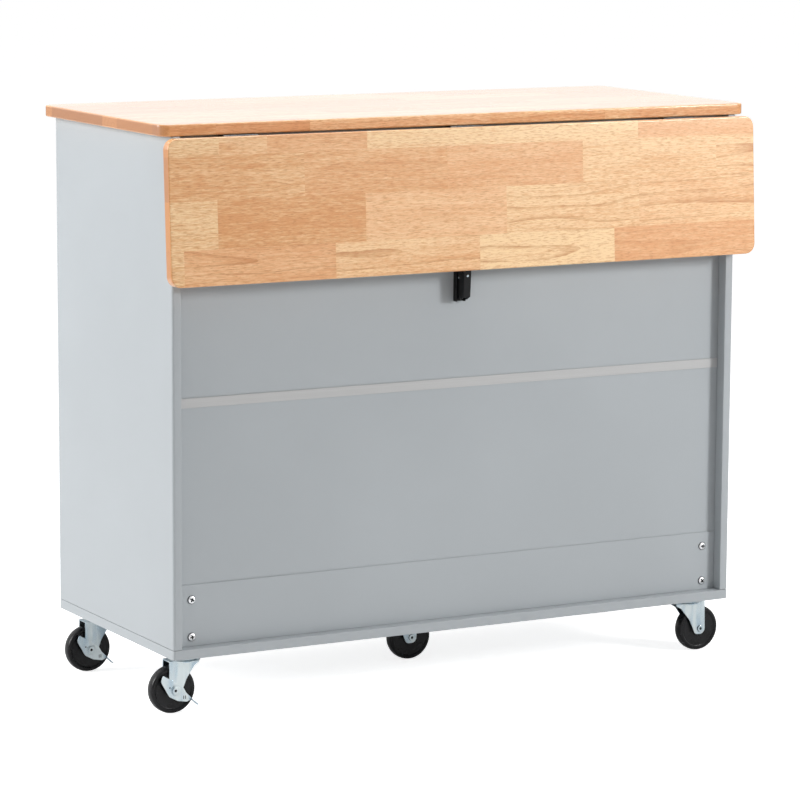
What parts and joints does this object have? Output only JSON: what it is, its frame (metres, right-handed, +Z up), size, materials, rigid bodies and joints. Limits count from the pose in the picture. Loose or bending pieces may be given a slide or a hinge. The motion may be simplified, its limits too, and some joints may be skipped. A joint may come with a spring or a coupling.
{
  "type": "drop leaf kitchen island",
  "caption": "Kitchen island on swivel casters with brakes: painted cabinet with doors, drawers and shelves, a wood worktop, and a hinged wood leaf at the back over a folding bracket.",
  "frame": {"origin": "on the floor, under the middle of the island's outline with the leaf down", "axes": "+X along the island towards the end with the braked casters, +Y towards the back, where the leaf hangs, +Z up"},
  "size_m": [1.04, 0.4952, 0.91],
  "materials": {
    "timber": "clear satin lacquer on finger-jointed blocks",
    "paint": "blue-grey satin paint on fibreboard",
    "block_wood": "bare softwood",
    "strip": "smooth extruded plastic",
    "zinc": "bright zinc plate",
    "screw": "nickel plate",
    "knob": "satin nickel",
    "black_steel": "black powder coat",
    "wheel": "hard black rubber, semi-gloss"
  },
  "bodies": {
    "cabinet": {"countertop": "timber", "bottom_board": "paint", "side_left": "paint", "side_right": "paint", "stretcher_front": "paint", "stretcher_back": "paint", "partition": "paint", "drawer_deck_left": "paint", "drawer_deck_right": "paint", "shelf_left": "paint", "shelf_right": "paint", "back_panel_upper": "paint", "back_panel_lower": "paint", "joining_strip": "strip", "back_rail": "paint", "corner_block_left": "block_wood", "corner_block_right": "block_wood", "rail_screw_left_lower": "screw", "rail_screw_left_upper": "screw", "rail_screw_right_lower": "screw", "rail_screw_right_upper": "screw", "leaf_hinge_fixed_left": "zinc", "leaf_hinge_fixed_middle": "zinc", "leaf_hinge_fixed_right": "zinc", "bracket_wall_leg": "black_steel", "door_pivot_left_lower": "zinc", "door_pivot_left_upper": "zinc", "door_pivot_right_lower": "zinc", "door_pivot_right_upper": "zinc", "caster_plate_back_left": "zinc", "caster_plate_front_left": "zinc", "caster_plate_middle": "zinc", "caster_plate_back_right": "zinc", "caster_plate_front_right": "zinc"},
    "leaf": {"drop_leaf": "timber", "leaf_hinge_moving_left": "zinc", "leaf_hinge_moving_middle": "zinc", "leaf_hinge_moving_right": "zinc"},
    "arm": {"bracket_arm": "black_steel"},
    "strut": {"bracket_strut": "black_steel"},
    "door_l": {"door_left": "paint", "door_knob_left": "knob"},
    "door_r": {"door_right": "paint", "door_knob_right": "knob"},
    "drawer_l": {"drawer_left": "paint", "drawer_knob_left": "knob"},
    "drawer_r": {"drawer_right": "paint", "drawer_knob_right": "knob"},
    "fork_back_left": {"caster_fork_back_left": "zinc"},
    "fork_front_left": {"caster_fork_front_left": "zinc"},
    "fork_middle": {"caster_fork_middle": "zinc"},
    "fork_back_right": {"caster_fork_back_right": "zinc"},
    "fork_front_right": {"caster_fork_front_right": "zinc"},
    "wheel_back_left": {"caster_wheel_back_left": "wheel"},
    "wheel_front_left": {"caster_wheel_front_left": "wheel"},
    "wheel_middle": {"caster_wheel_middle": "wheel"},
    "wheel_back_right": {"caster_wheel_back_right": "wheel"},
    "wheel_front_right": {"caster_wheel_front_right": "wheel"},
    "lever_back_left": {"brake_lever_back_left": "zinc"},
    "lever_front_left": {"brake_lever_front_left": "zinc"}
  },
  "joints": [
    {"name": "leaf_hinge", "type": "hinge", "parent": "cabinet", "child": "leaf", "pos_m": [0, 0.21442, 0.889], "axis": [1, 0, 0], "range_deg": [0, 86.8]},
    {"name": "arm_pivot", "type": "hinge", "parent": "cabinet", "child": "arm", "pos_m": [0, 0.20292, 0.877], "axis": [1, 0, 0], "range_deg": [0, 86.8]},
    {"name": "strut_pivot", "type": "hinge", "parent": "arm", "child": "strut", "pos_m": [0, 0.20833, 0.78015], "axis": [1, 0, 0], "range_deg": [-124.04, 0]},
    {"name": "door_left_hinge", "type": "hinge", "parent": "cabinet", "child": "door_l", "pos_m": [0.478, -0.21578, 0.4], "axis": [0, 0, 1], "range_deg": [0, 100]},
    {"name": "door_right_hinge", "type": "hinge", "parent": "cabinet", "child": "door_r", "pos_m": [-0.478, -0.21578, 0.4], "axis": [0, 0, -1], "range_deg": [0, 100]},
    {"name": "drawer_left_slide", "type": "slide", "parent": "cabinet", "child": "drawer_l", "axis": [0, -1, 0], "range_m": [0, 0.3]},
    {"name": "drawer_right_slide", "type": "slide", "parent": "cabinet", "child": "drawer_r", "axis": [0, -1, 0], "range_m": [0, 0.3]},
    {"name": "swivel_back_left", "type": "hinge", "parent": "cabinet", "child": "fork_back_left", "pos_m": [0.458, 0.15342, 0.0375], "axis": [0, 0, 1], "continuous": true},
    {"name": "swivel_front_left", "type": "hinge", "parent": "cabinet", "child": "fork_front_left", "pos_m": [0.458, -0.16558, 0.0375], "axis": [0, 0, 1], "continuous": true},
    {"name": "swivel_middle", "type": "hinge", "parent": "cabinet", "child": "fork_middle", "pos_m": [0, -0.00608, 0.0375], "axis": [0, 0, 1], "continuous": true},
    {"name": "swivel_back_right", "type": "hinge", "parent": "cabinet", "child": "fork_back_right", "pos_m": [-0.458, 0.15342, 0.0375], "axis": [0, 0, 1], "continuous": true},
    {"name": "swivel_front_right", "type": "hinge", "parent": "cabinet", "child": "fork_front_right", "pos_m": [-0.458, -0.16558, 0.0375], "axis": [0, 0, 1], "continuous": true},
    {"name": "roll_back_left", "type": "hinge", "parent": "fork_back_left", "child": "wheel_back_left", "pos_m": [0.48, 0.15342, 0.0375], "axis": [0, 1, 0], "continuous": true},
    {"name": "roll_front_left", "type": "hinge", "parent": "fork_front_left", "child": "wheel_front_left", "pos_m": [0.48, -0.16558, 0.0375], "axis": [0, 1, 0], "continuous": true},
    {"name": "roll_middle", "type": "hinge", "parent": "fork_middle", "child": "wheel_middle", "pos_m": [-0.022, -0.00608, 0.0375], "axis": [0, 1, 0], "continuous": true},
    {"name": "roll_back_right", "type": "hinge", "parent": "fork_back_right", "child": "wheel_back_right", "pos_m": [-0.48, 0.15342, 0.0375], "axis": [0, 1, 0], "continuous": true},
    {"name": "roll_front_right", "type": "hinge", "parent": "fork_front_right", "child": "wheel_front_right", "pos_m": [-0.48, -0.16558, 0.0375], "axis": [0, 1, 0], "continuous": true},
    {"name": "brake_back_left", "type": "hinge", "parent": "fork_back_left", "child": "lever_back_left", "pos_m": [0.48, 0.15342, 0.0375], "axis": [0, 1, 0], "range_deg": [0, 20]},
    {"name": "brake_front_left", "type": "hinge", "parent": "fork_front_left", "child": "lever_front_left", "pos_m": [0.48, -0.16558, 0.0375], "axis": [0, 1, 0], "range_deg": [0, 20]}
  ],
  "couplings": [
    {"joint": "arm_pivot", "follows": "leaf_hinge", "ratio": 1},
    {"joint": "strut_pivot", "follows": "leaf_hinge", "ratio": -1.429}
  ]
}
